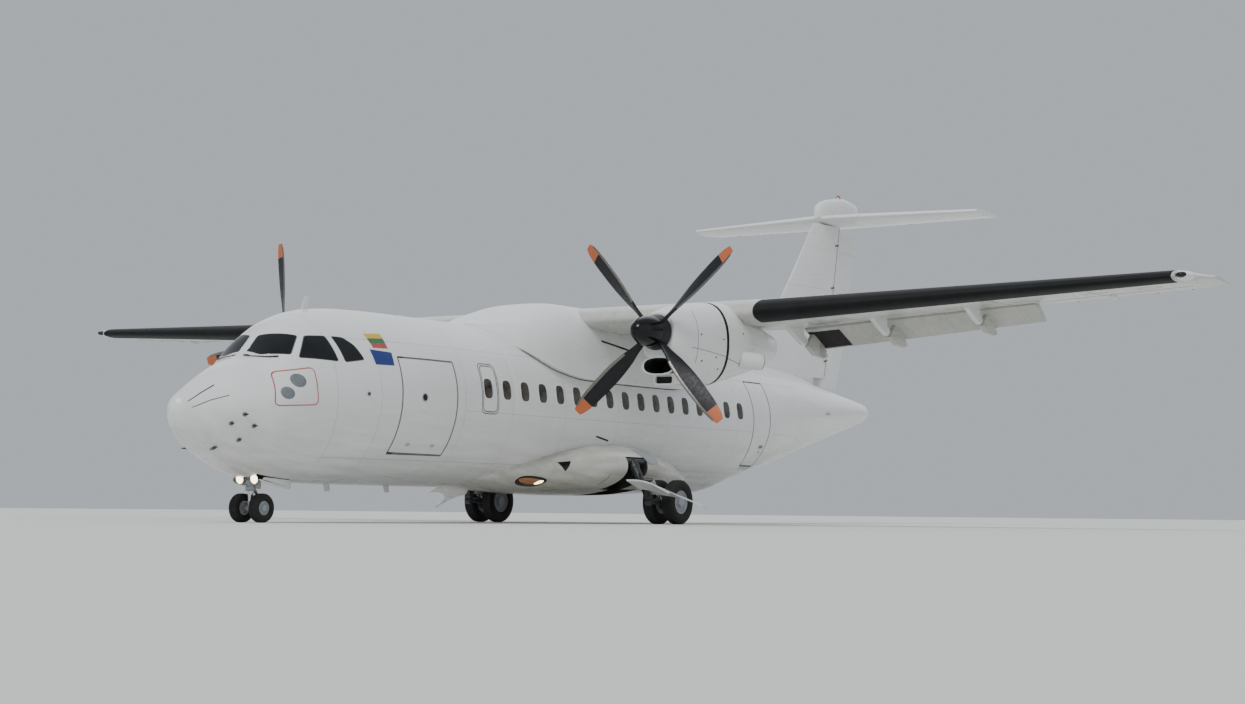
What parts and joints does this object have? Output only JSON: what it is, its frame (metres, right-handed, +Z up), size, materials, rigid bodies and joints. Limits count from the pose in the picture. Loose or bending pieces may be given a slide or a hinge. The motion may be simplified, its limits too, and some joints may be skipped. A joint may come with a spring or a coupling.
{
  "type": "twin-turboprop regional airliner",
  "caption": "High-wing regional airliner with turboprop engines, a T-tail and retractable gear in belly pods, parked with its flaps down.",
  "frame": {"origin": "on the ground, at mid-length and mid-span, between the wheels", "axes": "+X to the nose, +Y to port, +Z up"},
  "size_m": [22.67, 24.57, 7.5887],
  "materials": {
    "white_paint": "gloss aircraft enamel over aluminium and composite skin, lightly soiled",
    "black_paint": "gloss black enamel",
    "blade_composite": "satin dark grey composite with orange tips",
    "gear_paint": "satin grey enamel on forged steel and aluminium",
    "tyre": "worn black rubber",
    "lamp_glass": "clear lamp lens",
    "engine_metal": "bare machined casing",
    "window_glass": "dark tinted cockpit glazing",
    "bare_metal": "ground and plated steel"
  },
  "bodies": {
    "airframe": {"fuselage_nose": "white_paint", "fuselage_centre": "white_paint", "fuselage_rear": "white_paint", "tail_cone": "white_paint", "wing_root_fairing": "white_paint", "belly_fairing": "white_paint", "wing_centre": "white_paint", "wing_outer_port": "white_paint", "wing_outer_starboard": "white_paint", "nacelle_front_port": "white_paint", "nacelle_rear_port": "white_paint", "engine_port": "engine_metal", "nacelle_front_starboard": "white_paint", "nacelle_rear_starboard": "white_paint", "engine_starboard": "engine_metal", "fin": "white_paint", "tailplane": "white_paint", "fin_cap": "white_paint", "nose_leg": "gear_paint", "taxi_lamp_port": "lamp_glass", "taxi_lamp_starboard": "lamp_glass", "nose_gear_door_port": "white_paint", "nose_gear_door_starboard": "white_paint", "main_leg_port": "gear_paint", "main_arm_port": "gear_paint", "main_leg_starboard": "gear_paint", "main_arm_starboard": "gear_paint", "cockpit_glazing": "window_glass", "shock_strut_port": "bare_metal", "main_gear_door_port": "white_paint", "shock_strut_starboard": "bare_metal", "main_gear_door_starboard": "white_paint"},
    "steered_fork": {"nose_fork": "gear_paint"},
    "nose_wheels": {"nose_wheel_hubs": "gear_paint", "nose_wheel_tyre_a": "tyre", "nose_wheel_tyre_b": "tyre"},
    "main_wheels_port": {"main_wheel_port_hubs": "gear_paint", "main_wheel_port_tyre_a": "tyre", "main_wheel_port_tyre_b": "tyre"},
    "main_wheels_starboard": {"main_wheel_starboard_hubs": "gear_paint", "main_wheel_starboard_tyre_a": "tyre", "main_wheel_starboard_tyre_b": "tyre"},
    "propeller_port": {"propeller_port": "blade_composite", "spinner_port": "black_paint"},
    "propeller_starboard": {"propeller_starboard": "blade_composite", "spinner_starboard": "black_paint"},
    "passenger_door": {"passenger_door": "white_paint"},
    "cargo_door": {"cargo_door": "white_paint"},
    "service_door": {"service_door": "white_paint"},
    "flap_inner_port": {"flap_inner_port": "white_paint"},
    "flap_outer_port": {"flap_outer_port": "white_paint"},
    "flap_inner_starboard": {"flap_inner_starboard": "white_paint"},
    "flap_outer_starboard": {"flap_outer_starboard": "white_paint"},
    "aileron_port": {"aileron_port": "white_paint"},
    "aileron_starboard": {"aileron_starboard": "white_paint"},
    "elevator_port": {"elevator_port": "white_paint"},
    "elevator_starboard": {"elevator_starboard": "white_paint"},
    "rudder": {"rudder": "white_paint"}
  },
  "joints": [
    {"name": "nose_steering", "type": "hinge", "parent": "airframe", "child": "steered_fork", "pos_m": [9.595, 0, 0.5], "axis": [0, 0, 1], "range_deg": [-60, 60]},
    {"name": "nose_wheel_spin", "type": "hinge", "parent": "steered_fork", "child": "nose_wheels", "pos_m": [9.57, 0, 0.225], "axis": [0, 1, 0], "continuous": true},
    {"name": "main_wheel_spin_port", "type": "hinge", "parent": "airframe", "child": "main_wheels_port", "pos_m": [0.715, 2.05, 0.4065], "axis": [0, 1, 0], "continuous": true},
    {"name": "main_wheel_spin_starboard", "type": "hinge", "parent": "airframe", "child": "main_wheels_starboard", "pos_m": [0.715, -2.05, 0.4065], "axis": [0, 1, 0], "continuous": true},
    {"name": "propeller_spin_port", "type": "hinge", "parent": "airframe", "child": "propeller_port", "pos_m": [4.435, 4.05, 3.19], "axis": [1, 0, 0], "continuous": true},
    {"name": "propeller_spin_starboard", "type": "hinge", "parent": "airframe", "child": "propeller_starboard", "pos_m": [4.435, -4.05, 3.19], "axis": [1, 0, 0], "continuous": true},
    {"name": "passenger_door_hinge", "type": "hinge", "parent": "airframe", "child": "passenger_door", "pos_m": [-3.955, 1.095, 1.192], "axis": [-1, 0, 0], "range_deg": [0, 118]},
    {"name": "cargo_door_hinge", "type": "hinge", "parent": "airframe", "child": "cargo_door", "pos_m": [6.93, 1.305, 2.646], "axis": [1, 0, 0], "range_deg": [0, 105]},
    {"name": "service_door_hinge", "type": "hinge", "parent": "airframe", "child": "service_door", "pos_m": [-3.625, -1.43, 2], "axis": [0, 0, 1], "range_deg": [0, 100]},
    {"name": "flap_inner_port_hinge", "type": "hinge", "parent": "airframe", "child": "flap_inner_port", "pos_m": [0.47605, 2.54, 3.29279], "axis": [0, 1, 0], "range_deg": [0, 30]},
    {"name": "flap_outer_port_hinge", "type": "hinge", "parent": "airframe", "child": "flap_outer_port", "pos_m": [0.47605, 4.85, 3.29279], "axis": [0.0104, 0.9978, 0.0661], "range_deg": [0, 30]},
    {"name": "flap_inner_starboard_hinge", "type": "hinge", "parent": "airframe", "child": "flap_inner_starboard", "pos_m": [0.47605, -2.54, 3.29279], "axis": [0, 1, 0], "range_deg": [0, 30]},
    {"name": "flap_outer_starboard_hinge", "type": "hinge", "parent": "airframe", "child": "flap_outer_starboard", "pos_m": [0.47605, -4.85, 3.29279], "axis": [-0.0104, 0.9978, -0.0661], "range_deg": [0, 30]},
    {"name": "aileron_port_hinge", "type": "hinge", "parent": "airframe", "child": "aileron_port", "pos_m": [0.4757, 9.32, 3.8571], "axis": [0.0143, 0.9989, 0.0446], "range_deg": [-14, 14]},
    {"name": "aileron_starboard_hinge", "type": "hinge", "parent": "airframe", "child": "aileron_starboard", "pos_m": [0.4757, -9.32, 3.8571], "axis": [-0.0143, 0.9989, -0.0446], "range_deg": [-14, 14]},
    {"name": "elevator_port_hinge", "type": "hinge", "parent": "airframe", "child": "elevator_port", "pos_m": [-10.3041, 0.43, 7], "axis": [-0.036, 0.9994, 0], "range_deg": [-13, 23]},
    {"name": "elevator_starboard_hinge", "type": "hinge", "parent": "airframe", "child": "elevator_starboard", "pos_m": [-10.3041, -0.43, 7], "axis": [0.036, 0.9994, 0], "range_deg": [-13, 23]},
    {"name": "rudder_hinge", "type": "hinge", "parent": "airframe", "child": "rudder", "pos_m": [-9.105, 0, 3.3], "axis": [-0.2316, 0, 0.9728], "range_deg": [-27, 27]}
  ],
  "couplings": [
    {"joint": "flap_inner_port_hinge", "follows": "flap_outer_port_hinge", "ratio": 1},
    {"joint": "flap_inner_starboard_hinge", "follows": "flap_outer_port_hinge", "ratio": 1},
    {"joint": "flap_outer_starboard_hinge", "follows": "flap_outer_port_hinge", "ratio": 1},
    {"joint": "aileron_starboard_hinge", "follows": "aileron_port_hinge", "ratio": -1},
    {"joint": "elevator_starboard_hinge", "follows": "elevator_port_hinge", "ratio": 1}
  ]
}
